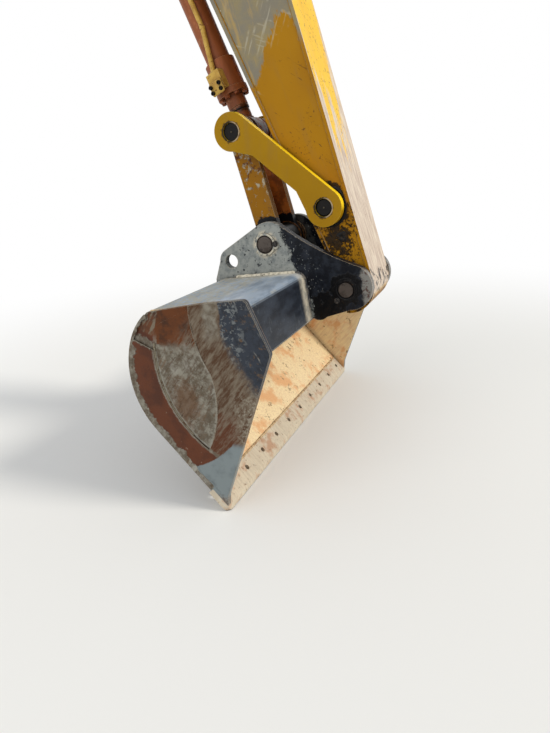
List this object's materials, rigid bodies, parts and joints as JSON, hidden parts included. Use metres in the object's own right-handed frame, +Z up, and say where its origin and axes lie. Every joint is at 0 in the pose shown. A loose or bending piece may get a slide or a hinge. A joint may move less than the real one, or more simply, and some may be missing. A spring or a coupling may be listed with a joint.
{
  "type": "excavator dipper arm with bucket",
  "caption": "Excavator dipper arm with bucket cylinder, curl linkage and a wide smooth-lipped ditch-cleaning bucket.",
  "frame": {"origin": "centre of the boom pivot bore, half way across the arm", "axes": "+X forward, away from the machine; +Y the machine's left, along the pivots; +Z up"},
  "size_m": [1.6306, 1.83, 4.2297],
  "materials": {
    "arm_yellow": "worn yellow-ochre paint",
    "link_yellow": "fresh yellow paint",
    "pin_steel": "greasy steel",
    "primer_brown": "terracotta primer",
    "rod_chrome": "polished",
    "pipe_yellow": "pale yellow paint",
    "ear_black": "black paint worn to steel",
    "worn_steel": "worn by soil",
    "bucket_steel": "rust and dried mud"
  },
  "bodies": {
    "arm": {"stick_web_left": "arm_yellow", "stick_web_right": "arm_yellow", "stick_front_plate": "arm_yellow", "stick_rear_plate": "arm_yellow", "tip_boss": "arm_yellow", "idler_boss": "arm_yellow", "boom_boss": "arm_yellow", "boom_doublers": "arm_yellow", "crown_bosses": "arm_yellow", "bracket_left": "arm_yellow", "bracket_right": "arm_yellow", "base_pin": "pin_steel", "idler_pin": "pin_steel"},
    "cylinder": {"barrel": "primer_brown", "cylinder_head": "primer_brown", "pipe": "pipe_yellow", "pipe_clamp": "pipe_yellow", "port_block": "pipe_yellow", "base_port": "pipe_yellow"},
    "rod": {"rod": "rod_chrome", "rod_eye": "primer_brown", "link_pin_middle": "pin_steel"},
    "side_links": {"side_link_left": "link_yellow", "side_link_right": "link_yellow", "link_pin_ends": "pin_steel"},
    "h_link": {"h_link": "link_yellow", "link_pin_sleeves": "pin_steel"},
    "bucket": {"bucket_pin": "pin_steel", "ear_link_pin": "pin_steel", "bucket_shell": "bucket_steel", "side_plate_left": "bucket_steel", "side_plate_right": "bucket_steel", "side_wear_left": "bucket_steel", "side_wear_right": "bucket_steel", "lip": "worn_steel", "top_beam": "bucket_steel", "beam_floor": "bucket_steel", "ear_left": "ear_black", "ear_right": "ear_black"}
  },
  "joints": [
    {"name": "bucket_curl", "type": "hinge", "parent": "arm", "child": "bucket", "pos_m": [-0.89615, 0, -2.75806], "axis": [0, 1, 0], "range_deg": [0, 165]},
    {"name": "side_link_swing", "type": "hinge", "parent": "arm", "child": "side_links", "pos_m": [-0.79038, 0, -2.37752], "axis": [0, 1, 0], "range_deg": [0, 119.84]},
    {"name": "h_link_swing", "type": "hinge", "parent": "bucket", "child": "h_link", "pos_m": [-0.48694, 0, -2.54794], "axis": [0, 1, 0], "range_deg": [-104.18, 0]},
    {"name": "cylinder_swing", "type": "hinge", "parent": "arm", "child": "cylinder", "pos_m": [0.32111, 0, -0.51651], "axis": [0, 1, 0], "range_deg": [-0.55, 0]},
    {"name": "rod_stroke", "type": "slide", "parent": "cylinder", "child": "rod", "axis": [-0.4006, 0, -0.9163], "range_m": [0, 0.987]}
  ],
  "couplings": [
    {"joint": "side_link_swing", "follows": "bucket_curl", "ratio": 0.72628},
    {"joint": "h_link_swing", "follows": "bucket_curl", "ratio": -0.63139},
    {"joint": "cylinder_swing", "follows": "bucket_curl", "ratio": -0.003333},
    {"joint": "rod_stroke", "follows": "bucket_curl", "m_per_rad": 0.34247}
  ]
}
